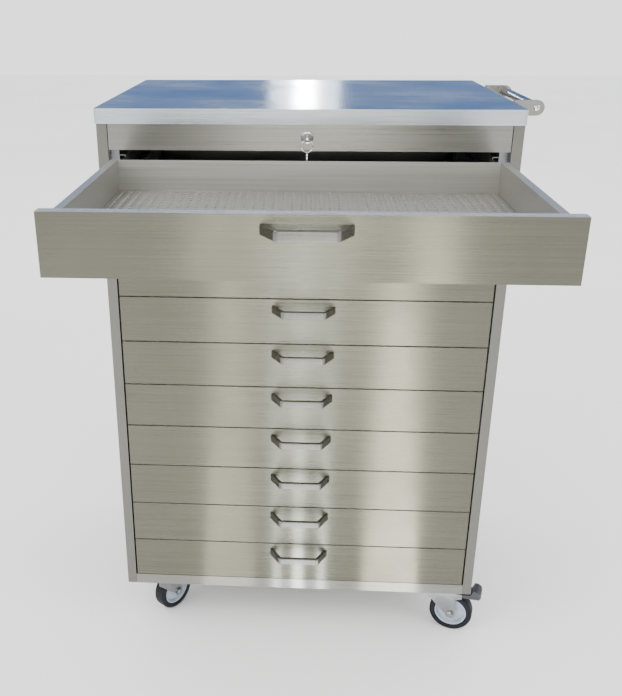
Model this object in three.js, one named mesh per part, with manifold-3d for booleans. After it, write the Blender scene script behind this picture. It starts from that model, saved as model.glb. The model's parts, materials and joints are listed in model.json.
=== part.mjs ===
// A stainless steel ward trolley with ten drawers on ball slides, a downturned worktop, a side push
// handle, a cam lock and four swivel castors. The top drawer stands open.
// Millimetres, +Z up, +X to the right and +Y from the drawer fronts towards the back.
import * as THREE from 'three';
import { mergeVertices } from 'three/addons/utils/BufferGeometryUtils.js';
import Module from 'manifold-3d';

const wasm = await Module();
wasm.setup();

// ---- driving dimensions ----
const sheet = 1.2;                 // stainless sheet
const gap = 0.3;                   // room between pieces that rest on each other
const casterHeight = 132;          // floor to the underside of the body
const railHeight = 25;             // rail under the lowest drawer
const fasciaHeight = 49;           // fascia above the top drawer
const drawerCount = 10;
const drawerPitch = 98.2;
const frontGap = 3;                // gap between two drawer fronts
const coverWidth = 800;
const coverDepth = 570;
const coverFlange = 28;
const coverCorner = 6;
const bodyWidth = 795;
const bodyFront = 5;               // the body starts this far behind the worktop's front edge
const bodyBack = 565;
const stileWidth = 20;
const returnDepth = 20;            // folded edges behind the front plane
const frontWidth = 748;
const frontDepth = 20;
const trayWidth = 683;
const trayDepth = 378;
const trayWall = 66;
const trayDrop = 1;                // tray wall top below the front's top edge
const trayFlange = 12;
const trayFlangeLip = 5;
const linerThickness = 1;
const linerHeight = 9;             // the liner stands on its turned-down edges
const topDrawerPull = 487;
const runnerLength = 525;
const runnerHead = 32;             // height of the runner's head inside its rail
const railFace = 349;              // inner face of a slide rail, from the middle plane
const slideRailDepth = 13;
const slideRailTall = 45;
const slideRailLip = 5;
const slideRailFrontY = 28;
const slideRailLength = 524;
const uprightWidth = 40;
const uprightFronts = [30, 480];
const handleSpan = 132;
const handleStraight = 90;
const handleReach = 37;
const handleThick = 8;
const handleTall = 16;
const handleDrop = 13;             // top of the handle below the front's top edge
const tubeRadius = 10;
const tubeCentreX = 445;
const tubeCentreDrop = 11;         // tube centre below the worktop
const bracketTall = 30;
const bracketThick = 4;
const bracketYs = [125, 410];
const bracketFoot = 44;
const lockDrop = 51;               // lock axis below the worktop
const lockBodyRadius = 9.5;
const lockCollarRadius = 12;
const lockBodyLength = 25;
const lockPlugRadius = 6;
const lockCamLength = 22;
const keyBowRadius = 12;
const keyThick = 2.4;
const wheelRadius = 50;
const wheelHalfWidth = 15;
const hubHalfWidth = 17;
const wheelFacets = 24;
const wheelTrail = 38;             // wheel axle behind the swivel axis
const axleRadius = 5;
const axleClearance = 0.6;
const swivelX = 331;
const swivelYs = { front: 66, rear: 504 };
const forkPlate = 2.5;
const forkInside = 37;
const forkCrownTop = 110;
const forkCrownThick = 4;
const swivelBossTop = 120;
const mountPlate = { long: 92, wide: 68, thick: 3, bossRadius: 26 };
const casters = [
  { place: 'front_left', x: -swivelX, y: swivelYs.front, trailAngle: 53, braked: false },
  { place: 'front_right', x: swivelX, y: swivelYs.front, trailAngle: -17, braked: true },
  { place: 'rear_left', x: -swivelX, y: swivelYs.rear, trailAngle: 20, braked: false },
  { place: 'rear_right', x: swivelX, y: swivelYs.rear, trailAngle: -8, braked: true },
];

// ---- levels worked out from them ----
const drawersBottom = casterHeight + railHeight;
const drawersTop = drawersBottom + drawerCount * drawerPitch;
const fasciaTop = drawersTop + fasciaHeight;
const worktop = fasciaTop + coverFlange;
const frontHeight = drawerPitch - frontGap;
const skinX = bodyWidth / 2;
const stileInnerX = skinX - stileWidth;
const railOuterX = railFace + slideRailDepth;
const axleHeight = wheelRadius * Math.cos(Math.PI / wheelFacets);
const tubeCentreZ = worktop - tubeCentreDrop;
const bracketTipX = tubeCentreX + bracketTall / 2;

// ---- finishes ----
function finish(color, roughness, metalness) {
  return new THREE.MeshStandardMaterial({ color, roughness, metalness });
}

const coverSteel = finish(0xb9c6d2, 0.3, 1);
const panelSteel = finish(0xa9a9a4, 0.4, 1);
const frontSteel = finish(0xaaa79c, 0.42, 1);
const slideSteel = finish(0x8d9090, 0.45, 1);
const handleSteel = finish(0xc4c4c0, 0.25, 1);
const lockChrome = finish(0xc8c8c8, 0.15, 1);
const casterSteel = finish(0xb4b8ba, 0.3, 1);
const tyreRubber = finish(0x14161c, 0.7, 0);
const pedalPlastic = finish(0x3a3d40, 0.6, 0);

// ---- solids ----
function signedVolume(geometry) {
  const corners = geometry.getAttribute('position');
  const index = geometry.getIndex();
  const a = new THREE.Vector3();
  const b = new THREE.Vector3();
  const c = new THREE.Vector3();
  let volume = 0;
  for (let i = 0; i < index.count; i += 3) {
    a.fromBufferAttribute(corners, index.getX(i));
    b.fromBufferAttribute(corners, index.getX(i + 1));
    c.fromBufferAttribute(corners, index.getX(i + 2));
    volume += a.dot(b.cross(c)) / 6;
  }
  return volume;
}

function solid(geometry) {
  geometry.deleteAttribute('normal');
  geometry.deleteAttribute('uv');
  const merged = mergeVertices(geometry, 1e-4);
  const triVerts = new Uint32Array(merged.getIndex().array);
  if (signedVolume(merged) < 0) triVerts.reverse();
  const vertProperties = new Float32Array(merged.getAttribute('position').array);
  return new wasm.Manifold(new wasm.Mesh({ numProp: 3, vertProperties, triVerts }));
}

function join(pieces) {
  return pieces.reduce((whole, piece) => whole.add(piece));
}

function block([x0, x1], [y0, y1], [z0, z1]) {
  const box = new THREE.BoxGeometry(x1 - x0, y1 - y0, z1 - z0);
  return solid(box.translate((x0 + x1) / 2, (y0 + y1) / 2, (z0 + z1) / 2));
}

function drumAlongY(radius, [y0, y1], centreX, centreZ, sides = 24) {
  const drum = new THREE.CylinderGeometry(radius, radius, y1 - y0, sides);
  return solid(drum.translate(centreX, (y0 + y1) / 2, centreZ));
}

function drumAlongZ(radius, [z0, z1], centreX = 0, centreY = 0, sides = 24) {
  const drum = new THREE.CylinderGeometry(radius, radius, z1 - z0, sides).rotateX(Math.PI / 2);
  return solid(drum.translate(centreX, centreY, (z0 + z1) / 2));
}

function outline(points) {
  return new THREE.Shape(points.map(([a, b]) => new THREE.Vector2(a, b)));
}

function prism(shape, length, curveSegments = 5) {
  return new THREE.ExtrudeGeometry(shape, { depth: length, bevelEnabled: false, curveSegments });
}

// A shape drawn in (x, y), standing from z0 to z1.
function prismAlongZ(shape, [z0, z1]) {
  return solid(prism(shape, z1 - z0).translate(0, 0, z0));
}

// A shape drawn in (y, z), running from x0 to x1.
function prismAlongX(shape, [x0, x1]) {
  const turn = new THREE.Matrix4().makeBasis(
    new THREE.Vector3(0, 1, 0),
    new THREE.Vector3(0, 0, 1),
    new THREE.Vector3(1, 0, 0),
  );
  return solid(prism(shape, x1 - x0).applyMatrix4(turn).translate(x0, 0, 0));
}

// A shape drawn in (x, z), running from y0 to y1.
function prismAlongY(shape, [y0, y1]) {
  return solid(prism(shape, y1 - y0).rotateX(Math.PI / 2).translate(0, y1, 0));
}

function roundedRectangle(x0, x1, y0, y1, radius) {
  const shape = new THREE.Shape();
  shape.moveTo(x0 + radius, y0);
  shape.lineTo(x1 - radius, y0);
  shape.absarc(x1 - radius, y0 + radius, radius, -Math.PI / 2, 0);
  shape.lineTo(x1, y1 - radius);
  shape.absarc(x1 - radius, y1 - radius, radius, 0, Math.PI / 2);
  shape.lineTo(x0 + radius, y1);
  shape.absarc(x0 + radius, y1 - radius, radius, Math.PI / 2, Math.PI);
  shape.lineTo(x0, y0 + radius);
  shape.absarc(x0 + radius, y0 + radius, radius, Math.PI, 1.5 * Math.PI);
  return shape;
}

function mirrored(points) {
  return points.map(([x, other]) => [-x, other]).reverse();
}

function named(name, piece, material) {
  const { vertProperties, triVerts } = piece.getMesh();
  const geometry = new THREE.BufferGeometry();
  geometry.setAttribute('position', new THREE.BufferAttribute(vertProperties, 3));
  geometry.setIndex(new THREE.BufferAttribute(triVerts, 1));
  geometry.computeVertexNormals();
  const mesh = new THREE.Mesh(geometry, material);
  mesh.name = name;
  return mesh;
}

// ---- body ----
function topCover() {
  const halfWidth = coverWidth / 2;
  const outside = roundedRectangle(-halfWidth, halfWidth, 0, coverDepth, coverCorner);
  const inside = roundedRectangle(
    -halfWidth + sheet, halfWidth - sheet, sheet, coverDepth - sheet, coverCorner - sheet,
  );
  const hollow = prismAlongZ(inside, [fasciaTop - sheet, worktop - sheet]);
  return prismAlongZ(outside, [fasciaTop, worktop]).subtract(hollow);
}

// One folded sheet seen from above: stile return, stile, skin and rear return.
function sidePanel(side) {
  const rearReturn = 15;
  const points = [
    [stileInnerX, bodyFront],
    [skinX, bodyFront],
    [skinX, bodyBack],
    [skinX - rearReturn, bodyBack],
    [skinX - rearReturn, bodyBack - sheet],
    [skinX - sheet, bodyBack - sheet],
    [skinX - sheet, bodyFront + sheet],
    [stileInnerX + sheet, bodyFront + sheet],
    [stileInnerX + sheet, bodyFront + returnDepth],
    [stileInnerX, bodyFront + returnDepth],
  ];
  const plan = side > 0 ? points : mirrored(points);
  return prismAlongZ(outline(plan), [casterHeight, worktop - sheet - gap]);
}

function backPanel() {
  const halfWidth = skinX - sheet - gap;
  const backFace = bodyBack - sheet - gap;
  return block([-halfWidth, halfWidth], [backFace - sheet, backFace],
    [casterHeight + sheet + gap, worktop - sheet - gap]);
}

function bottomPan() {
  const wide = skinX - sheet - gap;
  const narrow = stileInnerX - gap;
  const behindStile = bodyFront + returnDepth + gap;
  const plan = outline([
    [-narrow, bodyFront],
    [narrow, bodyFront],
    [narrow, behindStile],
    [wide, behindStile],
    [wide, bodyBack - sheet - gap],
    [-wide, bodyBack - sheet - gap],
    [-wide, behindStile],
    [-narrow, behindStile],
  ]);
  const rail = outline([
    [bodyFront, casterHeight],
    [bodyFront + sheet, casterHeight],
    [bodyFront + sheet, drawersBottom - sheet],
    [bodyFront + returnDepth, drawersBottom - sheet],
    [bodyFront + returnDepth, drawersBottom],
    [bodyFront, drawersBottom],
  ]);
  return join([
    prismAlongZ(plan, [casterHeight, casterHeight + sheet]),
    prismAlongX(rail, [-narrow, narrow]),
  ]);
}

function frontFascia() {
  const endGap = 1.5;
  const halfWidth = stileInnerX - endGap;
  const back = bodyFront + returnDepth;
  const section = outline([
    [bodyFront, drawersTop],
    [back, drawersTop],
    [back, drawersTop + sheet],
    [bodyFront + sheet, drawersTop + sheet],
    [bodyFront + sheet, fasciaTop - sheet],
    [back, fasciaTop - sheet],
    [back, fasciaTop],
    [bodyFront, fasciaTop],
  ]);
  const lockHole = drumAlongY(lockBodyRadius + gap, [0, back], 0, worktop - lockDrop);
  return prismAlongX(section, [-halfWidth, halfWidth]).subtract(lockHole);
}

// ---- slides ----
function slideCentre(drawer) {
  return drawerBottom(drawer) + frontHeight - trayDrop - trayWall / 2;
}

// A lipped channel that opens towards the drawer.
function slideRail(side, centreZ) {
  const half = slideRailTall / 2;
  const points = [
    [railFace, half - slideRailLip],
    [railFace + sheet, half - slideRailLip],
    [railFace + sheet, half - sheet],
    [railOuterX - sheet, half - sheet],
    [railOuterX - sheet, -half + sheet],
    [railFace + sheet, -half + sheet],
    [railFace + sheet, -half + slideRailLip],
    [railFace, -half + slideRailLip],
    [railFace, -half],
    [railOuterX, -half],
    [railOuterX, half],
    [railFace, half],
  ].map(([x, z]) => [x, z + centreZ]);
  const section = outline(side > 0 ? points : mirrored(points));
  return prismAlongY(section, [slideRailFrontY, slideRailFrontY + slideRailLength]);
}

// A channel that stands on the bottom pan and carries one side's rails.
function upright(side, frontY) {
  const inner = railOuterX - sheet / 2;
  const outer = skinX - sheet - gap;
  const points = [
    [inner, frontY],
    [outer, frontY],
    [outer, frontY + sheet],
    [inner + sheet, frontY + sheet],
    [inner + sheet, frontY + uprightWidth - sheet],
    [outer, frontY + uprightWidth - sheet],
    [outer, frontY + uprightWidth],
    [inner, frontY + uprightWidth],
  ];
  const plan = outline(side > 0 ? points : mirrored(points));
  return prismAlongZ(plan, [casterHeight + sheet + gap, fasciaTop]);
}

function slideRack(side) {
  const uprights = uprightFronts.map((frontY) => upright(side, frontY));
  const rails = [];
  for (let drawer = 1; drawer <= drawerCount; drawer += 1) {
    rails.push(slideRail(side, slideCentre(drawer)));
  }
  return join([...uprights, ...rails]);
}

// ---- drawers: drawn with the front's outer face at y = 0 and its bottom edge at z = 0 ----
function drawerBottom(drawer) {
  return drawersBottom + (drawerCount - drawer) * drawerPitch + frontGap / 2;
}

function drawerFront() {
  const half = frontWidth / 2;
  const pan = block([-half, half], [0, frontDepth], [0, frontHeight]);
  const inside = block([-half + sheet, half - sheet], [sheet, frontDepth + sheet],
    [sheet, frontHeight - sheet]);
  return pan.subtract(inside);
}

const trayFrontY = frontDepth + gap;
const trayTop = frontHeight - trayDrop;
const trayBottom = trayTop - trayWall;

function trayFlangeAndRunner(side) {
  const half = trayWidth / 2;
  const flange = [
    [half - sheet, trayTop - sheet],
    [half + trayFlange - sheet, trayTop - sheet],
    [half + trayFlange - sheet, trayTop - trayFlangeLip],
    [half + trayFlange, trayTop - trayFlangeLip],
    [half + trayFlange, trayTop],
    [half - sheet, trayTop],
  ];
  const webHalf = sheet;
  const headX = railFace + 2 * sheet;
  const centreZ = trayTop - trayWall / 2;
  const runner = [
    [half - sheet / 2, -webHalf],
    [headX, -webHalf],
    [headX, -runnerHead / 2],
    [headX + 2, -runnerHead / 2],
    [headX + 2, runnerHead / 2],
    [headX, runnerHead / 2],
    [headX, webHalf],
    [half - sheet / 2, webHalf],
  ].map(([x, z]) => [x, z + centreZ]);
  const flangeShape = outline(side > 0 ? flange : mirrored(flange));
  const runnerShape = outline(side > 0 ? runner : mirrored(runner));
  return [
    prismAlongY(flangeShape, [trayFrontY, trayFrontY + trayDepth]),
    prismAlongY(runnerShape, [trayFrontY, trayFrontY + runnerLength]),
  ];
}

function drawerTray() {
  const half = trayWidth / 2;
  const back = trayFrontY + trayDepth;
  const outside = block([-half, half], [trayFrontY, back], [trayBottom, trayTop]);
  const inside = block([-half + sheet, half - sheet], [trayFrontY + sheet, back - sheet],
    [trayBottom + sheet, trayTop + sheet]);
  return join([
    outside.subtract(inside),
    ...trayFlangeAndRunner(1),
    ...trayFlangeAndRunner(-1),
  ]);
}

function drawerLiner() {
  const half = trayWidth / 2 - sheet - gap;
  const front = trayFrontY + sheet + gap;
  const back = trayFrontY + trayDepth - sheet - gap;
  const bottom = trayBottom + sheet + gap;
  const inner = half - linerThickness;
  const outside = block([-half, half], [front, back], [bottom, bottom + linerHeight]);
  const inside = block([-inner, inner], [front + linerThickness, back - linerThickness],
    [bottom - linerThickness, bottom + linerHeight - linerThickness]);
  return outside.subtract(inside);
}

// A bow of flat bar: two slanted legs and a straight grip.
function drawerHandle() {
  const foot = handleSpan / 2;
  const grip = handleStraight / 2;
  const footInner = foot - 9.5;
  const gripInner = grip - 5;
  const rear = -gap;
  const front = rear - handleReach;
  const inner = front + handleThick;
  const bow = outline([
    [-foot, rear],
    [-grip - 2, front + 3],
    [-grip + 2, front],
    [grip - 2, front],
    [grip + 2, front + 3],
    [foot, rear],
    [footInner, rear],
    [gripInner, inner],
    [-gripInner, inner],
    [-footInner, rear],
  ]);
  const top = frontHeight - handleDrop;
  return prismAlongZ(bow, [top - handleTall, top]);
}

function drawer(number) {
  const group = new THREE.Group();
  const label = `drawer_${String(number).padStart(2, '0')}`;
  const pull = number === 1 ? topDrawerPull : 0;
  group.position.set(0, bodyFront - pull, drawerBottom(number));
  group.add(named(`${label}_front`, drawerFront(), frontSteel));
  group.add(named(`${label}_tray`, drawerTray(), slideSteel));
  group.add(named(`${label}_handle`, drawerHandle(), handleSteel));
  if (number === 1) group.add(named(`${label}_liner`, drawerLiner(), slideSteel));
  return group;
}

// ---- push handle ----
function pushHandleBracket(frontY) {
  const radius = bracketTall / 2;
  const sideX = coverWidth / 2 + gap;
  const plate = new THREE.Shape();
  plate.moveTo(sideX, tubeCentreZ - radius);
  plate.lineTo(tubeCentreX, tubeCentreZ - radius);
  plate.absarc(tubeCentreX, tubeCentreZ, radius, -Math.PI / 2, Math.PI / 2);
  plate.lineTo(sideX, tubeCentreZ + radius);
  const footThick = 3;
  const foot = block([sideX, sideX + footThick],
    [frontY - bracketFoot / 2, frontY + bracketFoot / 2],
    [worktop - coverFlange + 1, worktop - 1]);
  const arm = prismAlongY(plate, [frontY - bracketThick / 2, frontY + bracketThick / 2]);
  return join([foot, arm]);
}

function pushHandleTube() {
  const wall = 1.5;
  const [frontY, rearY] = bracketYs;
  const ends = [frontY + bracketThick / 2 + gap, rearY - bracketThick / 2 - gap];
  const bore = drumAlongY(tubeRadius - wall, [frontY, rearY], tubeCentreX, tubeCentreZ);
  return drumAlongY(tubeRadius, ends, tubeCentreX, tubeCentreZ).subtract(bore);
}

// ---- lock ----
const lockZ = worktop - lockDrop;
const lockFace = bodyFront - gap;
const lockCollarFront = lockFace - 2.5;

function lockBody() {
  const rear = lockFace + lockBodyLength;
  const collar = drumAlongY(lockCollarRadius, [lockCollarFront, lockFace], 0, lockZ);
  const barrel = drumAlongY(lockBodyRadius, [lockFace - 1, rear], 0, lockZ);
  const bore = drumAlongY(lockPlugRadius + gap, [lockCollarFront - 1, rear + 1], 0, lockZ);
  return collar.add(barrel).subtract(bore);
}

function lockPlug() {
  const rear = lockFace + lockBodyLength + gap;
  const camThick = 3;
  const camHalf = 6;
  const plug = drumAlongY(lockPlugRadius, [lockCollarFront - 0.5, rear + 1], 0, lockZ);
  const cam = block([-camHalf, camHalf], [rear, rear + camThick],
    [lockZ - camHalf, lockZ + lockCamLength]);
  return plug.add(cam);
}

function lockKey() {
  const rear = lockCollarFront - 0.5 - gap;
  const stemLength = 7;
  const stemHalf = 3.5;
  const bowCentre = rear - stemLength - keyBowRadius + 2;
  const bow = new THREE.CylinderGeometry(keyBowRadius, keyBowRadius, keyThick, 24);
  const bowSolid = solid(bow.rotateZ(Math.PI / 2).translate(0, bowCentre, lockZ));
  const ringHole = new THREE.CylinderGeometry(2, 2, 2 * keyThick, 12);
  const hole = solid(ringHole.rotateZ(Math.PI / 2).translate(0, bowCentre - 7, lockZ));
  const stem = block([-keyThick / 2, keyThick / 2], [rear - stemLength - 1, rear],
    [lockZ - stemHalf, lockZ + stemHalf]);
  return bowSolid.add(stem).subtract(hole);
}

// ---- castors: drawn with the swivel axis at the origin and the wheel trailing along +X ----
function casterMount() {
  const top = casterHeight - gap;
  const plateBottom = top - mountPlate.thick;
  const plate = block([-mountPlate.long / 2, mountPlate.long / 2],
    [-mountPlate.wide / 2, mountPlate.wide / 2], [plateBottom, top]);
  return plate.add(drumAlongZ(mountPlate.bossRadius, [swivelBossTop + gap, plateBottom + 1]));
}

function forkSide(braked) {
  const crownRear = -24;
  const crownFront = braked ? 62 : 46;
  const hubRadius = 12;
  const shape = new THREE.Shape();
  shape.moveTo(crownRear, forkCrownTop);
  shape.lineTo(crownRear, 98);
  shape.lineTo(wheelTrail - hubRadius, axleHeight - 2);
  shape.absarc(wheelTrail, axleHeight, hubRadius, 1.05 * Math.PI, 2 * Math.PI);
  shape.lineTo(46, 92);
  if (braked) shape.lineTo(62, 98);
  shape.lineTo(crownFront, forkCrownTop);
  return shape;
}

function casterFork(braked) {
  const inside = forkInside / 2;
  const outside = inside + forkPlate;
  const boltEnd = outside + 4;
  const side = forkSide(braked);
  return join([
    prismAlongY(side, [inside, outside]),
    prismAlongY(side, [-outside, -inside]),
    block([-24, 46], [-outside, outside], [forkCrownTop - forkCrownThick, forkCrownTop]),
    drumAlongZ(mountPlate.bossRadius - 6, [forkCrownTop - 1, swivelBossTop]),
    drumAlongY(axleRadius, [-boltEnd, boltEnd], wheelTrail, axleHeight, 12),
  ]);
}

function casterWheel() {
  const bore = axleRadius + axleClearance;
  const hubRadius = 16;
  const treadHalf = 10;
  const profile = [
    [bore, -hubHalfWidth],
    [hubRadius, -hubHalfWidth],
    [hubRadius + 2, -wheelHalfWidth],
    [wheelRadius - 4, -wheelHalfWidth],
    [wheelRadius, -treadHalf],
    [wheelRadius, treadHalf],
    [wheelRadius - 4, wheelHalfWidth],
    [hubRadius + 2, wheelHalfWidth],
    [hubRadius, hubHalfWidth],
    [bore, hubHalfWidth],
    [bore, -hubHalfWidth],
  ].map(([radius, y]) => new THREE.Vector2(radius, y));
  // Half a facet of turn lays a flat on the floor.
  const wheel = new THREE.LatheGeometry(profile, wheelFacets).rotateY(Math.PI / wheelFacets);
  return solid(wheel.translate(wheelTrail, 0, axleHeight));
}

function brakePedal() {
  const halfWidth = forkInside / 2 - 1;
  const shape = new THREE.Shape();
  shape.moveTo(53, 99);
  shape.lineTo(82, 101);
  shape.lineTo(100, 103);
  shape.lineTo(104, 109);
  shape.lineTo(102, 118);
  shape.lineTo(95, 124);
  shape.lineTo(86, 124);
  shape.lineTo(80, 110);
  shape.lineTo(55, 107.5);
  return prismAlongY(shape, [-halfWidth, halfWidth]);
}

function caster({ place, x, y, trailAngle, braked }) {
  const fixed = new THREE.Group();
  fixed.position.set(x, y, 0);
  fixed.add(named(`caster_mount_${place}`, casterMount(), casterSteel));
  const swivel = new THREE.Group();
  swivel.rotation.z = THREE.MathUtils.degToRad(trailAngle);
  swivel.add(named(`caster_fork_${place}`, casterFork(braked), casterSteel));
  swivel.add(named(`caster_wheel_${place}`, casterWheel(), tyreRubber));
  if (braked) swivel.add(named(`brake_pedal_${place}`, brakePedal(), pedalPlastic));
  fixed.add(swivel);
  return fixed;
}

// ---- the whole trolley, its box centred over the origin ----
const trolley = new THREE.Group();
const boxLeft = -coverWidth / 2;
const boxFront = bodyFront - topDrawerPull - gap - handleReach;
trolley.position.set(-(boxLeft + bracketTipX) / 2, -(boxFront + coverDepth) / 2, 0);

trolley.add(named('top_cover', topCover(), coverSteel));
trolley.add(named('left_side_panel', sidePanel(-1), panelSteel));
trolley.add(named('right_side_panel', sidePanel(1), panelSteel));
trolley.add(named('back_panel', backPanel(), panelSteel));
trolley.add(named('bottom_pan', bottomPan(), panelSteel));
trolley.add(named('front_fascia', frontFascia(), panelSteel));
trolley.add(named('left_slide_rack', slideRack(-1), slideSteel));
trolley.add(named('right_slide_rack', slideRack(1), slideSteel));
trolley.add(named('push_handle_tube', pushHandleTube(), handleSteel));
trolley.add(named('push_handle_bracket_front', pushHandleBracket(bracketYs[0]), handleSteel));
trolley.add(named('push_handle_bracket_rear', pushHandleBracket(bracketYs[1]), handleSteel));
trolley.add(named('lock_body', lockBody(), lockChrome));
trolley.add(named('lock_plug', lockPlug(), lockChrome));
trolley.add(named('lock_key', lockKey(), lockChrome));
for (let number = 1; number <= drawerCount; number += 1) trolley.add(drawer(number));
for (const place of casters) trolley.add(caster(place));

export default trolley;
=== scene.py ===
import json
import math

import bmesh
import bpy
from mathutils import Matrix, Vector


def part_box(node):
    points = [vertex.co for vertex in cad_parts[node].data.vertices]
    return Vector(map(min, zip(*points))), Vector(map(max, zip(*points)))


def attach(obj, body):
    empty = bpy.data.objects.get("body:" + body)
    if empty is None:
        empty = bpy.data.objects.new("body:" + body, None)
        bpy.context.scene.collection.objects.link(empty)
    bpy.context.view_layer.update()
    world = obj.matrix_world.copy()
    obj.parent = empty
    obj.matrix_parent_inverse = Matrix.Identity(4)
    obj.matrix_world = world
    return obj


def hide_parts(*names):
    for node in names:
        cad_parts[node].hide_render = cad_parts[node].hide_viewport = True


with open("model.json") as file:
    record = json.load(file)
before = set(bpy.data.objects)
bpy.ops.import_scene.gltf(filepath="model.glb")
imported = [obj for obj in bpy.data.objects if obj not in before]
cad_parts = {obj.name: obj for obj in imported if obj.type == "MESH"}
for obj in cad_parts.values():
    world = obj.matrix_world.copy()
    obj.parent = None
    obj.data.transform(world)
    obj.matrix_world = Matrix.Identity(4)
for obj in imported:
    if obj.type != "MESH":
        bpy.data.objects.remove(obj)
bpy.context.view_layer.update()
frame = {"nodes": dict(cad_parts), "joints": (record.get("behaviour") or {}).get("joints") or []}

MM = 0.001
X_AXIS = Vector((1, 0, 0))
Y_AXIS = Vector((0, 1, 0))
Z_AXIS = Vector((0, 0, 1))
DRAWERS = [f"drawer_{number:02d}" for number in range(1, 11)]
CASTERS = ["front_left", "front_right", "rear_left", "rear_right"]
BRAKED = ["front_right", "rear_right"]
JOINTS = {joint["name"]: joint for joint in frame["joints"]}

COVER_LOW, COVER_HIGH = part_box("top_cover")
MIDDLE_X = (COVER_LOW.x + COVER_HIGH.x) / 2

# Camera, from the middle of the worktop's front edge.
CAMERA_OFFSET = Vector((-0.0074, -1.5983, 0.1951))
CAMERA_RIGHT = Vector((0.99811, 0.06128, -0.00401))
CAMERA_UP = Vector((-0.01953, 0.37857, 0.92537))
CAMERA_LENS = 43.664
CAMERA_SHIFT = (0.0876, -0.0110)


# ---- materials ----
def new_material(name):
    material = bpy.data.materials.new(name)
    material.use_nodes = True
    nodes = material.node_tree.nodes
    return material, nodes, material.node_tree.links, nodes["Principled BSDF"]


def stretched_noise(nodes, links, scale, detail=4.0, roughness=0.55):
    """Noise in the object's own metres, with its own scale along X, Y and Z."""
    place = nodes.new("ShaderNodeTexCoord")
    mapping = nodes.new("ShaderNodeMapping")
    mapping.inputs["Scale"].default_value = scale
    noise = nodes.new("ShaderNodeTexNoise")
    noise.inputs["Scale"].default_value = 1.0
    noise.inputs["Detail"].default_value = detail
    noise.inputs["Roughness"].default_value = roughness
    links.new(place.outputs["Object"], mapping.inputs["Vector"])
    links.new(mapping.outputs["Vector"], noise.inputs["Vector"])
    return noise.outputs["Fac"]


def ramp(nodes, links, fac, stops):
    node = nodes.new("ShaderNodeValToRGB")
    elements = node.color_ramp.elements
    while len(elements) < len(stops):
        elements.new(0.5)
    for element, (position, color) in zip(elements, stops):
        element.position = position
        element.color = (*color, 1)
    links.new(fac, node.inputs["Fac"])
    return node.outputs["Color"]


def spread(nodes, links, fac, low, high):
    """Turns the middle range of a noise into the range from low to high."""
    node = nodes.new("ShaderNodeMapRange")
    node.inputs["From Min"].default_value = 0.3
    node.inputs["From Max"].default_value = 0.7
    node.inputs["To Min"].default_value = low
    node.inputs["To Max"].default_value = high
    links.new(fac, node.inputs["Value"])
    return node.outputs["Result"]


def combine(nodes, links, operation, first, second):
    node = nodes.new("ShaderNodeMath")
    node.operation = operation
    links.new(first, node.inputs[0])
    links.new(second, node.inputs[1])
    return node.outputs["Value"]


def bump(nodes, links, height, bsdf, strength, distance):
    """Relief from a height in the range 0 to 1, with distance in metres."""
    node = nodes.new("ShaderNodeBump")
    node.inputs["Strength"].default_value = strength
    node.inputs["Distance"].default_value = distance
    links.new(height, node.inputs["Height"])
    links.new(node.outputs["Normal"], bsdf.inputs["Normal"])


def scaled(color, factor):
    return tuple(min(1.0, channel * factor) for channel in color)


def along(axis, lengthwise, crosswise):
    """A noise scale that is low along one axis and high across it."""
    scale = [crosswise] * 3
    scale[axis] = lengthwise
    return scale


def painted_fold_highlight(nodes, links, color_out, painted_highlight_color):
    """Mixes in a painted highlight: a brighter colour on the folds and on the faces that look up or down."""
    place = nodes.new("ShaderNodeTexCoord")
    split = nodes.new("ShaderNodeSeparateXYZ")
    links.new(place.outputs["Normal"], split.inputs["Vector"])
    tilt = nodes.new("ShaderNodeMath")
    tilt.operation = "ABSOLUTE"
    links.new(split.outputs["Z"], tilt.inputs[0])
    share = nodes.new("ShaderNodeMapRange")
    share.inputs["From Min"].default_value = 0.2
    share.inputs["From Max"].default_value = 0.7
    links.new(tilt.outputs["Value"], share.inputs["Value"])
    mix = nodes.new("ShaderNodeMix")
    mix.data_type = "RGBA"
    mix.inputs["B"].default_value = (*painted_highlight_color, 1)
    links.new(share.outputs["Result"], mix.inputs["Factor"])
    links.new(color_out, mix.inputs["A"])
    return mix.outputs["Result"]


def brushed_steel(name, color, roughness, grain_axis, anisotropy=0.9, highlight_along=None,
                  painted_highlight_color=None):
    """Stainless sheet: fine and coarse lines along the grain, soft smears across the sheet."""
    material, nodes, links, bsdf = new_material(name)
    fine = stretched_noise(nodes, links, along(grain_axis, 5, 1500))
    coarse = stretched_noise(nodes, links, along(grain_axis, 2.5, 520))
    smears = stretched_noise(nodes, links, (6, 6, 6), detail=3)
    lines = combine(nodes, links, "ADD", fine, coarse)
    halved = nodes.new("ShaderNodeMath")
    halved.operation = "MULTIPLY"
    halved.inputs[1].default_value = 0.5
    links.new(lines, halved.inputs[0])
    lines = halved.outputs["Value"]
    color_out = ramp(nodes, links, lines, [
        (0.32, scaled(color, 0.82)),
        (0.5, color),
        (0.68, scaled(color, 1.15)),
    ])
    # Painted highlight: the base colour turns brighter on folds and on faces that look up or down.
    if painted_highlight_color is not None:
        color_out = painted_fold_highlight(nodes, links, color_out, painted_highlight_color)
    links.new(color_out, bsdf.inputs["Base Color"])
    worn = combine(
        nodes, links, "ADD",
        spread(nodes, links, lines, roughness - 0.05, roughness + 0.04),
        spread(nodes, links, smears, -0.03, 0.05),
    )
    links.new(worn, bsdf.inputs["Roughness"])
    bsdf.inputs["Metallic"].default_value = 1.0
    if highlight_along is not None:
        bsdf.inputs["Anisotropic"].default_value = anisotropy
        tangent = nodes.new("ShaderNodeCombineXYZ")
        for index, value in enumerate(highlight_along):
            tangent.inputs[index].default_value = value
        links.new(tangent.outputs["Vector"], bsdf.inputs["Tangent"])
    bump(nodes, links, lines, bsdf, 0.12, 0.0002)
    return material


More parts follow.
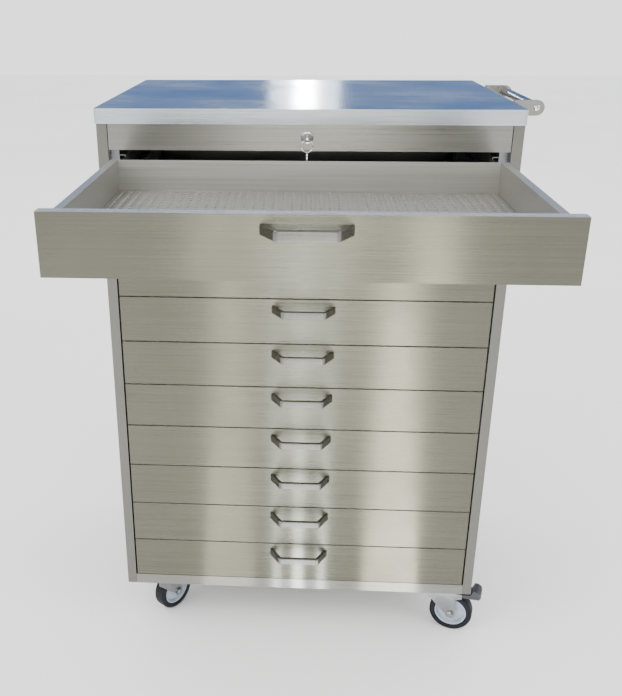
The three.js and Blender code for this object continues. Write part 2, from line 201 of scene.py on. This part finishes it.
def satin_metal(name, color, roughness, grain=350.0):
    """Metal with a fine speckle and no grain direction, as on cast, plated or bent pieces."""
    material, nodes, links, bsdf = new_material(name)
    speckle = stretched_noise(nodes, links, (grain,) * 3)
    smears = stretched_noise(nodes, links, (18, 18, 18), detail=3)
    color_out = ramp(nodes, links, smears, [
        (0.3, scaled(color, 0.85)),
        (0.7, scaled(color, 1.08)),
    ])
    links.new(color_out, bsdf.inputs["Base Color"])
    links.new(spread(nodes, links, smears, roughness - 0.05, roughness + 0.08), bsdf.inputs["Roughness"])
    bsdf.inputs["Metallic"].default_value = 1.0
    bump(nodes, links, speckle, bsdf, 0.1, 0.0001)
    return material


def moulded(name, color, roughness, grain, relief, specular=0.5):
    """Rubber or plastic with a fine skin and dusty patches."""
    material, nodes, links, bsdf = new_material(name)
    skin = stretched_noise(nodes, links, (grain,) * 3)
    dust = stretched_noise(nodes, links, (30, 30, 30), detail=5)
    color_out = ramp(nodes, links, dust, [
        (0.35, scaled(color, 0.8)),
        (0.6, color),
        (0.8, scaled(color, 1.8)),
    ])
    links.new(color_out, bsdf.inputs["Base Color"])
    links.new(spread(nodes, links, dust, roughness - 0.08, roughness + 0.12), bsdf.inputs["Roughness"])
    bsdf.inputs["Specular IOR Level"].default_value = specular
    bump(nodes, links, skin, bsdf, 0.25, relief)
    return material


cover_steel = brushed_steel("cover_steel", (0.50, 0.54, 0.58), 0.24, 0, 0.5, (0, 1, 0))
panel_steel = brushed_steel("panel_steel", (0.18, 0.178, 0.16), 0.32, 1, 0.85, (0, 0, 1))
rail_steel = brushed_steel("rail_steel", (0.26, 0.255, 0.232), 0.3, 0, 0.9, (0, 0, 1))
# The fronts' last colour is a painted highlight on their folds and on faces that look up or down.
front_steel = brushed_steel("front_steel", (0.160, 0.156, 0.122), 0.27, 0, 1.0, (0, 0, 1),
                            (0.80, 0.78, 0.74))
tray_steel = brushed_steel("tray_steel", (0.48, 0.475, 0.445), 0.4, 0)
handle_steel = satin_metal("handle_steel", (0.30, 0.295, 0.275), 0.24)
bow_steel = satin_metal("bow_steel", (0.165, 0.162, 0.145), 0.24)
slide_steel = satin_metal("slide_steel", (0.22, 0.23, 0.24), 0.38)
lock_chrome = satin_metal("lock_chrome", (0.66, 0.66, 0.65), 0.14)
caster_steel = satin_metal("caster_steel", (0.28, 0.29, 0.30), 0.26)
tyre_rubber = moulded("tyre_rubber", (0.004, 0.005, 0.009), 0.55, 900, 0.0002, 0.25)
hub_plastic = moulded("hub_plastic", (0.36, 0.42, 0.5), 0.45, 1200, 0.0001)
pedal_plastic = moulded("pedal_plastic", (0.03, 0.033, 0.038), 0.5, 1400, 0.0002)


# ---- mesh making ----
def make_piece(name, vertices, faces, material, smooth_below=35):
    """A mesh object, smooth where its faces meet at less than smooth_below degrees."""
    mesh = bpy.data.meshes.new(name)
    mesh.from_pydata([tuple(v) for v in vertices], [], faces)
    shape = bmesh.new()
    shape.from_mesh(mesh)
    bmesh.ops.remove_doubles(shape, verts=shape.verts, dist=1e-6)
    bmesh.ops.dissolve_degenerate(shape, edges=shape.edges, dist=1e-7)
    bmesh.ops.recalc_face_normals(shape, faces=shape.faces)
    shape.to_mesh(mesh)
    shape.free()
    mesh.shade_smooth()
    mesh.set_sharp_from_angle(angle=math.radians(smooth_below))
    piece = bpy.data.objects.new(name, mesh)
    bpy.context.scene.collection.objects.link(piece)
    mesh.materials.append(material)
    return piece


def finish_piece(piece, body, replaced=()):
    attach(piece, body)
    if replaced:
        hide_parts(*replaced)
    return piece


def turned_mesh(profile, origin, axis, steps, closed):
    """Vertices and faces of a profile of (radius, height) turned round an axis."""
    origin = Vector(origin)
    axis = Vector(axis).normalized()
    side = axis.orthogonal().normalized()
    other = axis.cross(side)
    vertices = []
    for radius, height in profile:
        for step in range(steps):
            angle = 2 * math.pi * (step + 0.5) / steps
            spoke = side * math.cos(angle) + other * math.sin(angle)
            vertices.append(origin + axis * height + spoke * radius)
    faces = []
    rings = len(profile)
    for ring in range(rings if closed else rings - 1):
        following = (ring + 1) % rings
        for step in range(steps):
            after = (step + 1) % steps
            faces.append((
                ring * steps + step,
                ring * steps + after,
                following * steps + after,
                following * steps + step,
            ))
    return vertices, faces


def turned(name, profile, origin, axis, material, steps=64, closed=False):
    vertices, faces = turned_mesh(profile, origin, axis, steps, closed)
    return make_piece(name, vertices, faces, material)


def merged_turned(name, parts, material, steps):
    """One piece made of several turned shapes, each given as (profile, origin, axis)."""
    vertices = []
    faces = []
    for profile, origin, axis in parts:
        more_vertices, more_faces = turned_mesh(profile, origin, axis, steps, False)
        start = len(vertices)
        vertices += more_vertices
        faces += [tuple(start + index for index in face) for face in more_faces]
    return make_piece(name, vertices, faces, material)


def rounded_section(width, height, radius, steps=4):
    """Corner points of a rectangle with rounded corners, centred on the origin."""
    points = []
    corners = [(1, 1, 0), (-1, 1, 90), (-1, -1, 180), (1, -1, 270)]
    for side_x, side_y, start in corners:
        centre_x = side_x * (width / 2 - radius)
        centre_y = side_y * (height / 2 - radius)
        for step in range(steps + 1):
            angle = math.radians(start + 90 * step / steps)
            points.append((centre_x + radius * math.cos(angle), centre_y + radius * math.sin(angle)))
    return points


def rounded_path(corners, radius, steps=8):
    """A flat path through corner points, with an arc in place of each inner corner."""
    path = [Vector(corners[0])]
    for before, corner, after in zip(corners, corners[1:], corners[2:]):
        corner = Vector(corner)
        arriving = (corner - Vector(before)).normalized()
        leaving = (Vector(after) - corner).normalized()
        turn = arriving.angle(leaving)
        setback = radius * math.tan(turn / 2)
        start = corner - arriving * setback
        end = corner + leaving * setback
        for step in range(steps + 1):
            t = step / steps
            path.append(start * (1 - t) ** 2 + corner * 2 * t * (1 - t) + end * t ** 2)
    path.append(Vector(corners[-1]))
    return path


def swept(name, path, section, flat_normal, material):
    """A section swept along a path that lies in the plane of flat_normal, with capped ends."""
    count = len(section)
    vertices = []
    for index, point in enumerate(path):
        before = path[max(index - 1, 0)]
        after = path[min(index + 1, len(path) - 1)]
        direction = (after - before).normalized()
        across = direction.cross(flat_normal).normalized()
        for a, b in section:
            vertices.append(point + across * a + flat_normal * b)
    faces = [tuple(range(count)), tuple(range((len(path) - 1) * count, len(path) * count))]
    for ring in range(len(path) - 1):
        for step in range(count):
            after = (step + 1) % count
            faces.append((
                ring * count + step,
                ring * count + after,
                (ring + 1) * count + after,
                (ring + 1) * count + step,
            ))
    return make_piece(name, vertices, faces, material)


def dome_profile(radius, height, steps=6):
    """A low dome on a flat base, from the axis at the base to the axis at the top."""
    profile = [(0, 0), (radius, 0)]
    for step in range(1, steps + 1):
        angle = math.pi / 2 * step / steps
        profile.append((radius * math.cos(angle), height * math.sin(angle)))
    return profile


def bevel(node, width, segments=2):
    """Rounds the sharp edges of a node or a piece with a modifier."""
    modifier = node.modifiers.new("edge", "BEVEL")
    modifier.width = width
    modifier.segments = segments
    modifier.limit_method = "ANGLE"
    modifier.angle_limit = math.radians(40)
    modifier.use_clamp_overlap = True


def dress(name, material, edge=None):
    """Gives a CAD node its material and, where edge is given, finely rounded edges."""
    node = frame["nodes"][name]
    node.data.materials.clear()
    node.data.materials.append(material)
    if edge:
        bevel(node, edge)


# ---- sheet metal that keeps its CAD shape ----
def dress_cabinet():
    dress("top_cover", cover_steel, 1.2 * MM)
    for name in ("left_side_panel", "right_side_panel", "back_panel"):
        dress(name, panel_steel, 0.5 * MM)
    for name in ("bottom_pan", "front_fascia"):
        dress(name, rail_steel, 0.5 * MM)
    for name in ("left_slide_rack", "right_slide_rack"):
        dress(name, slide_steel)
    for name in ("push_handle_bracket_front", "push_handle_bracket_rear"):
        dress(name, handle_steel, 0.8 * MM)


def dress_drawers():
    for drawer in DRAWERS:
        dress(f"{drawer}_front", front_steel, 0.6 * MM)
        dress(f"{drawer}_tray", tray_steel, 0.4 * MM)


# ---- drawer pieces ----
def drawer_handle(drawer):
    """A bar that slants out from each foot to a straight grip."""
    low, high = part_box(f"{drawer}_handle")
    thick = 8 * MM
    foot_inset = 5 * MM
    leg_run = 20 * MM
    bend_radius = 5 * MM
    edge_radius = 2.4 * MM
    foot = (high.x - low.x) / 2 - foot_inset
    grip = foot - leg_run
    middle = (low + high) / 2
    front = low.y + thick / 2
    corners = [
        (middle.x - foot, high.y, middle.z),
        (middle.x - grip, front, middle.z),
        (middle.x + grip, front, middle.z),
        (middle.x + foot, high.y, middle.z),
    ]
    section = rounded_section(thick, high.z - low.z, edge_radius)
    piece = swept(f"{drawer}_bow_handle", rounded_path(corners, bend_radius), section, Z_AXIS, bow_steel)
    return finish_piece(piece, drawer, [f"{drawer}_handle"])


def add_quad(vertices, faces, corners):
    first = len(vertices)
    vertices += [Vector(corner) for corner in corners]
    faces.append((first, first + 1, first + 2, first + 3))


def add_pierced_square(vertices, faces, centre, size, hole_radius):
    """A square with a 12-sided hole, as four faces that each take a quarter of the hole's edge."""
    sides = 12
    first = len(vertices)
    for reach, count in ((size / math.sqrt(2), 4), (hole_radius, sides)):
        for step in range(count):
            angle = math.radians(45) + 2 * math.pi * step / count
            vertices.append(centre + Vector((math.cos(angle), math.sin(angle), 0)) * reach)
    for quarter in range(4):
        edge = [first + 4 + (quarter * 3 + step) % sides for step in range(4)]
        faces.append((first + quarter, first + (quarter + 1) % 4, *reversed(edge)))


def perforated_liner():
    """A thin sheet with round holes on a square grid, standing on its turned-down edges."""
    low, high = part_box("drawer_01_liner")
    pitch = 16 * MM
    hole_radius = 3.0 * MM
    sheet = 1 * MM
    columns = int((high.x - low.x) / pitch)
    rows = int((high.y - low.y) / pitch)
    left = (low.x + high.x - columns * pitch) / 2
    right = left + columns * pitch
    near = (low.y + high.y - rows * pitch) / 2
    far = near + rows * pitch
    vertices = []
    faces = []
    for row in range(rows):
        for column in range(columns):
            centre = Vector((left + (column + 0.5) * pitch, near + (row + 0.5) * pitch, high.z))
            add_pierced_square(vertices, faces, centre, pitch, hole_radius)
    margins = [
        (low.x, high.x, low.y, near),
        (low.x, high.x, far, high.y),
        (low.x, left, near, far),
        (right, high.x, near, far),
    ]
    for x0, x1, y0, y1 in margins:
        add_quad(vertices, faces, [(x0, y0, high.z), (x1, y0, high.z), (x1, y1, high.z), (x0, y1, high.z)])
    rim = [(low.x, low.y), (high.x, low.y), (high.x, high.y), (low.x, high.y)]
    for (x0, y0), (x1, y1) in zip(rim, rim[1:] + rim[:1]):
        add_quad(vertices, faces, [(x0, y0, high.z), (x0, y0, low.z), (x1, y1, low.z), (x1, y1, high.z)])
    piece = make_piece("drawer_01_perforated_liner", vertices, faces, tray_steel)
    thickness = piece.modifiers.new("thickness", "SOLIDIFY")
    thickness.thickness = sheet
    thickness.offset = -1
    return finish_piece(piece, "drawer_01", ["drawer_01_liner"])


# ---- push handle ----
def push_handle():
    low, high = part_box("push_handle_tube")
    centre = (low + high) / 2
    radius = (high.z - low.z) / 2
    length = high.y - low.y
    inner = radius - 1.5 * MM
    chamfer = 0.5 * MM
    profile = [
        (inner, 0),
        (radius - chamfer, 0),
        (radius, chamfer),
        (radius, length - chamfer),
        (radius - chamfer, length),
        (inner, length),
    ]
    tube = turned("push_handle_bar", profile, (centre.x, low.y, centre.z), Y_AXIS, handle_steel, closed=True)
    finish_piece(tube, "cabinet", ["push_handle_tube"])
    push_handle_screws(centre)


def push_handle_screws(tube_centre):
    """Two screw heads on each bracket's foot, and one on each side of its round end."""
    foot_head = dome_profile(4.5 * MM, 2.6 * MM)
    end_head = dome_profile(6 * MM, 2 * MM)
    foot_thickness = 3 * MM
    foot_spacing = 14 * MM
    end_half_thickness = 2 * MM
    level = COVER_LOW.z + 14 * MM
    heads = []
    for name in ("push_handle_bracket_front", "push_handle_bracket_rear"):
        low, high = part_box(name)
        middle = (low.y + high.y) / 2
        for side in (-1, 1):
            place = (low.x + foot_thickness, middle + side * foot_spacing, level)
            heads.append((foot_head, place, X_AXIS))
        for side in (-1, 1):
            place = (tube_centre.x, middle + side * end_half_thickness, tube_centre.z)
            heads.append((end_head, place, Y_AXIS * side))
    screws = merged_turned("push_handle_screws", heads, lock_chrome, 24)
    finish_piece(screws, "cabinet")


# ---- lock ----
def lock_parts():
    axis = Vector(JOINTS["lock_turn"]["pos_m"])
    low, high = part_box("lock_body")
    depth = high.y - low.y
    bore = 6.3 * MM
    bore_edge = 0.6 * MM
    collar = 12 * MM
    collar_depth = 2.5 * MM
    barrel = 9.5 * MM
    profile = [
        (bore, bore_edge),
        (bore + bore_edge, 0),
        (collar - 2.2 * MM, 0),
        (collar - 0.6 * MM, 0.7 * MM),
        (collar, collar_depth),
        (barrel, collar_depth),
        (barrel, depth),
        (bore, depth),
    ]
    body = turned("lock_barrel", profile, (axis.x, low.y, axis.z), Y_AXIS, lock_chrome, closed=True)
    finish_piece(body, "cabinet", ["lock_body"])
    dress("lock_plug", lock_chrome, 0.3 * MM)
    key_parts(axis)


def key_outline(bow_radius, blade_length):
    """Points (along, across) from the bow's centre: round the bow, then out along the cut blade."""
    half_blade = 3.4 * MM
    shoulder = 3 * MM
    uncut_start = 6 * MM
    uncut = 9 * MM
    cuts = 6
    cut_width = 1.6 * MM
    tip = 2 * MM
    bow_steps = 28
    open_angle = math.asin(half_blade / bow_radius)
    outline = []
    for step in range(bow_steps + 1):
        angle = open_angle + (2 * math.pi - 2 * open_angle) * step / bow_steps
        outline.append((math.cos(angle) * bow_radius, math.sin(angle) * bow_radius))
    outline.append((bow_radius + shoulder, -half_blade))
    for cut in range(cuts):
        start = bow_radius + uncut_start + cut * (blade_length - uncut) / cuts
        cut_depth = (0.8 + 0.5 * (cut % 3)) * MM
        outline.append((start, -half_blade))
        outline.append((start + cut_width, -half_blade + cut_depth))
    far = bow_radius + blade_length
    outline.append((far - tip, -half_blade + 1 * MM))
    outline.append((far, 0))
    outline.append((far - tip, half_blade))
    return outline


def flat_key(name, top, direction, face_normal, blade_length, bow_radius, hole_from_top, hole_radius):
    """A flat key from the top of its bow along direction, with a hole in the bow."""
    thick = 2.2 * MM
    hole_steps = 20
    across = direction.cross(face_normal).normalized()
    bow_centre = top + direction * bow_radius
    hole_centre = top + direction * hole_from_top
    outline = key_outline(bow_radius, blade_length)
    shape = bmesh.new()
    ring = [shape.verts.new(bow_centre + direction * a + across * b) for a, b in outline]
    edges = [shape.edges.new((a, b)) for a, b in zip(ring, ring[1:] + ring[:1])]
    hole_ring = []
    for step in range(hole_steps):
        angle = 2 * math.pi * step / hole_steps
        offset = direction * math.cos(angle) + across * math.sin(angle)
        hole_ring.append(shape.verts.new(hole_centre + offset * hole_radius))
    edges += [shape.edges.new((a, b)) for a, b in zip(hole_ring, hole_ring[1:] + hole_ring[:1])]
    bmesh.ops.triangle_fill(shape, use_beauty=True, edges=edges)
    pushed = bmesh.ops.extrude_face_region(shape, geom=list(shape.faces))
    moved = [item for item in pushed["geom"] if isinstance(item, bmesh.types.BMVert)]
    bmesh.ops.translate(shape, verts=moved, vec=face_normal * thick)
    bmesh.ops.translate(shape, verts=shape.verts, vec=face_normal * (-thick / 2))
    bmesh.ops.recalc_face_normals(shape, faces=shape.faces)
    mesh = bpy.data.meshes.new(name)
    shape.to_mesh(mesh)
    shape.free()
    mesh.materials.append(lock_chrome)
    piece = bpy.data.objects.new(name, mesh)
    bpy.context.scene.collection.objects.link(piece)
    bevel(piece, 0.3 * MM, 1)
    return piece


def key_parts(axis):
    """The key in the plug, and a ring through its bow that carries the spare key."""
    low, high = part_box("lock_key")
    bow_radius = 12 * MM
    bow_hole = 3.6 * MM
    seat_gap = 0.2 * MM
    stem = high.y - low.y - 2 * bow_radius - seat_gap
    tip = Vector((axis.x, low.y, axis.z))
    key = flat_key("lock_key_in_plug", tip, Y_AXIS, X_AXIS, stem, bow_radius, bow_radius, bow_hole)
    finish_piece(key, "lock_cylinder", ["lock_key"])
    ring_radius = 11 * MM
    wire = 0.8 * MM
    ring_drop = 2.6 * MM
    centre = tip + Y_AXIS * bow_radius - Z_AXIS * (ring_radius + ring_drop)
    wire_steps = 10
    wire_profile = []
    for step in range(wire_steps):
        angle = 2 * math.pi * step / wire_steps
        wire_profile.append((ring_radius + wire * math.cos(angle), wire * math.sin(angle)))
    ring = turned("key_ring", wire_profile, centre, Y_AXIS, lock_chrome, steps=48, closed=True)
    finish_piece(ring, "cabinet")
    overlap = 3.1 * MM
    spare_top = centre - Z_AXIS * (ring_radius - overlap)
    spare = flat_key("spare_key", spare_top, -Z_AXIS, X_AXIS, 24 * MM, 8 * MM, 4.6 * MM, 2.3 * MM)
    finish_piece(spare, "cabinet")


# ---- castors ----
def wheel_parts(place):
    """A tyre with round shoulders, and a hub with a thin web between its boss and its rim."""
    joint = JOINTS[f"wheel_{place}_spin"]
    centre = Vector(joint["pos_m"])
    axis = Vector(joint["axis"]).normalized()
    body = f"wheel_{place}"
    radius = centre.z
    half_tread = 15 * MM
    rim = radius - 13 * MM
    shoulder = 5 * MM
    shoulder_steps = 8
    tyre_profile = [(rim, -half_tread + 2 * MM), (rim + 2 * MM, -half_tread)]
    for step in range(shoulder_steps + 1):
        angle = math.pi / 2 * step / shoulder_steps
        tyre_profile.append((radius - shoulder + shoulder * math.sin(angle),
                             -half_tread + shoulder - shoulder * math.cos(angle)))
    tyre_profile += [(r, -h) for r, h in reversed(tyre_profile)]
    tyre = turned(f"tyre_{place}", tyre_profile, centre, axis, tyre_rubber, 72, closed=True)
    finish_piece(tyre, body, [f"caster_wheel_{place}"])
    bore = 5.6 * MM
    half_boss = 17 * MM
    half_web = 5 * MM
    side = [
        (bore, half_boss),
        (11 * MM, half_boss),
        (12.5 * MM, half_boss - 2 * MM),
        (14 * MM, half_web),
        (rim - 6 * MM, half_web),
        (rim - 3 * MM, half_tread - 3 * MM),
        (rim - 0.1 * MM, half_tread - 2.5 * MM),
    ]
    hub_profile = side + [(r, -h) for r, h in reversed(side)]
    hub = turned(f"hub_{place}", hub_profile, centre, axis, hub_plastic, 72, closed=True)
    finish_piece(hub, body)


def axle_ends(place):
    """A nut on a washer at each end of the axle."""
    joint = JOINTS[f"wheel_{place}_spin"]
    centre = Vector(joint["pos_m"])
    axis = Vector(joint["axis"]).normalized()
    half_fork = 21 * MM
    nut = [(0, 0), (8 * MM, 0), (8 * MM, 4.5 * MM), (6.6 * MM, 5.6 * MM), (0, 5.6 * MM)]
    washer = [(0, 0), (10 * MM, 0), (10 * MM, 1.2 * MM), (0, 1.2 * MM)]
    for name, profile, steps in (("axle_nuts", nut, 6), ("axle_washers", washer, 32)):
        ends = merged_turned(f"{name}_{place}", [
            (profile, centre + axis * half_fork, axis),
            (profile, centre - axis * half_fork, -axis),
        ], caster_steel, steps)
        finish_piece(ends, f"caster_{place}")


def mount_bolts(place):
    """A bolt head under each corner of the mounting plate."""
    low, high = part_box(f"caster_mount_{place}")
    plate = 3 * MM
    inset = 9 * MM
    bolt = [(0, 0), (5.5 * MM, 0), (5.5 * MM, 3.6 * MM), (4.6 * MM, 4.2 * MM), (0, 4.2 * MM)]
    bolts = []
    for x in (low.x + inset, high.x - inset):
        for y in (low.y + inset, high.y - inset):
            bolts.append((bolt, (x, y, high.z - plate), -Z_AXIS))
    heads = merged_turned(f"mount_bolts_{place}", bolts, caster_steel, 6)
    finish_piece(heads, "cabinet")


def ball_race(place):
    """The rounded ring over the swivel's balls."""
    swivel = Vector(JOINTS[f"caster_{place}_swivel"]["pos_m"])
    inner = 26.2 * MM
    outer = 28.5 * MM
    rounding = 1.5 * MM
    height = 5.5 * MM
    profile = [
        (outer - rounding, 0),
        (outer, rounding),
        (outer, height - rounding),
        (outer - rounding, height),
        (inner, height),
        (inner, 0),
    ]
    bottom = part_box(f"caster_mount_{place}")[0].z + 1 * MM
    ring = turned(f"ball_race_{place}", profile, (swivel.x, swivel.y, bottom), Z_AXIS,
                  caster_steel, 48, closed=True)
    finish_piece(ring, "cabinet")


def caster_hardware(place):
    axle_ends(place)
    mount_bolts(place)
    ball_race(place)
    dress(f"caster_mount_{place}", caster_steel, 0.6 * MM)
    dress(f"caster_fork_{place}", caster_steel, 0.7 * MM)


def build_casters():
    for place in CASTERS:
        wheel_parts(place)
        caster_hardware(place)
    for place in BRAKED:
        dress(f"brake_pedal_{place}", pedal_plastic, 2.0 * MM)


# ---- surroundings ----
def studio():
    half = 15
    corners = [(-half, -half, 0), (half, -half, 0), (half, half, 0), (-half, half, 0)]
    floor_material, nodes, links, bsdf = new_material("studio_floor")
    cloud = stretched_noise(nodes, links, (0.8, 0.8, 0.8), detail=2)
    tone = ramp(nodes, links, cloud, [(0.3, (0.89, 0.89, 0.89)), (0.7, (0.93, 0.93, 0.93))])
    links.new(tone, bsdf.inputs["Base Color"])
    bsdf.inputs["Roughness"].default_value = 0.9
    bsdf.inputs["Specular IOR Level"].default_value = 0.1
    floor = make_piece("studio_floor", corners, [(0, 1, 2, 3)], floor_material)


def sky():
    """Pale light all round; gloss sees a blue sky low at the back, paler overhead and in front."""
    world = bpy.data.worlds.new("studio_sky")
    bpy.context.scene.world = world
    world.use_nodes = True
    nodes = world.node_tree.nodes
    links = world.node_tree.links
    background = nodes["Background"]
    place = nodes.new("ShaderNodeTexCoord")
    split = nodes.new("ShaderNodeSeparateXYZ")
    links.new(place.outputs["Generated"], split.inputs["Vector"])
    heights = ramp(nodes, links, split.outputs["Z"], [
        (0.0, (0.16, 0.32, 0.62)),
        (0.07, (0.02, 0.12, 0.46)),
        (0.12, (0.03, 0.17, 0.56)),
        (0.24, (0.05, 0.20, 0.58)),
        (0.42, (0.80, 0.87, 0.98)),
        (1.0, (0.95, 0.96, 1.0)),
    ])
    towards_front = nodes.new("ShaderNodeMapRange")
    towards_front.interpolation_type = "SMOOTHSTEP"
    towards_front.inputs["From Min"].default_value = 0.35
    towards_front.inputs["From Max"].default_value = -0.35
    links.new(split.outputs["Y"], towards_front.inputs["Value"])
    gloss = nodes.new("ShaderNodeMix")
    gloss.data_type = "RGBA"
    gloss.inputs["B"].default_value = (1.05, 1.05, 1.02, 1)
    links.new(towards_front.outputs["Result"], gloss.inputs["Factor"])
    links.new(heights, gloss.inputs["A"])
    path = nodes.new("ShaderNodeLightPath")
    mix = nodes.new("ShaderNodeMix")
    mix.data_type = "RGBA"
    mix.inputs["A"].default_value = (2.0, 2.01, 2.03, 1)
    links.new(path.outputs["Is Glossy Ray"], mix.inputs["Factor"])
    links.new(gloss.outputs["Result"], mix.inputs["B"])
    links.new(mix.outputs["Result"], background.inputs["Color"])
    background.inputs["Strength"].default_value = 1.0


def area_light(name, place, target, size, power, color=(1, 1, 1)):
    """A soft rectangular light that faces its target, with its size in metres."""
    data = bpy.data.lights.new(name, "AREA")
    data.shape = "RECTANGLE"
    data.size, data.size_y = size
    data.energy = power
    data.color = color
    light = bpy.data.objects.new(name, data)
    light.location = place
    aim = Vector(target) - Vector(place)
    light.rotation_mode = "QUATERNION"
    light.rotation_quaternion = aim.to_track_quat("-Z", "Y")
    light.visible_camera = False
    bpy.context.scene.collection.objects.link(light)


def floor_strip(name, bearing, width, power, color):
    """A long low light that runs away from the fronts, along one bearing from the camera."""
    near = 0.1
    far = 8.0
    height = 0.01
    middle = (near + far) / 2
    x = MIDDLE_X + math.tan(math.radians(bearing)) * (middle - CAMERA_OFFSET.y)
    data = bpy.data.lights.new(name, "AREA")
    data.shape = "RECTANGLE"
    data.size = width
    data.size_y = far - near
    data.energy = power
    data.color = color
    light = bpy.data.objects.new(name, data)
    upwards = Matrix.Rotation(math.pi, 4, "X")
    turn = Matrix.Rotation(math.radians(bearing), 4, "Z")
    light.matrix_world = Matrix.Translation((x, -middle, height)) @ turn @ upwards
    light.visible_camera = False
    bpy.context.scene.collection.objects.link(light)


def lights():
    middle = (0, 0.2, 0.7)
    worktop = (0, 0.2, 1.2)
    warm = (1.0, 0.98, 0.92)
    cool = (0.85, 0.93, 1.0)
    area_light("soft_left", (-3.0, -2.4, 3.4), middle, (2.4, 2.4), 120, (1.0, 0.98, 0.95))
    area_light("soft_right", (3.2, -1.6, 2.6), middle, (2.0, 2.4), 60)
    area_light("sun_glare", (MIDDLE_X, 6.0, 2.0), worktop, (0.16, 0.16), 26, (1.0, 0.97, 0.92))
    area_light("sun_halo", (MIDDLE_X, 6.2, 2.0), worktop, (0.6, 0.4), 9, (0.9, 0.95, 1.0))
    area_light("front_glow", (MIDDLE_X, -8.0, 1.7), (0, 0, 1.1), (1.8, 1.4), 90, warm)
    for name, bearing, width, power, color in (
        ("band_left", -5.6, 0.13, 9, warm),
        ("band_right", 7.4, 0.14, 30, warm),
        ("streak_a", -1.7, 0.02, 5, cool),
        ("streak_b", 0.0, 0.025, 12, cool),
        ("streak_c", 1.9, 0.02, 6, cool),
    ):
        floor_strip(name, bearing, width, power, color)


def camera():
    edge = Vector((MIDDLE_X, COVER_LOW.y, COVER_HIGH.z))
    backwards = CAMERA_RIGHT.cross(CAMERA_UP)
    turn = Matrix((CAMERA_RIGHT, CAMERA_UP, backwards)).transposed().to_4x4()
    data = bpy.data.cameras.new("camera")
    data.sensor_width = 36
    data.lens = CAMERA_LENS
    data.shift_x, data.shift_y = CAMERA_SHIFT
    view = bpy.data.objects.new("camera", data)
    view.matrix_world = Matrix.Translation(edge + CAMERA_OFFSET) @ turn
    bpy.context.scene.collection.objects.link(view)
    bpy.context.scene.camera = view


camera()
dress_cabinet()
dress_drawers()
for each_drawer in DRAWERS:
    drawer_handle(each_drawer)
perforated_liner()
push_handle()
lock_parts()
build_casters()
studio()
sky()
lights()
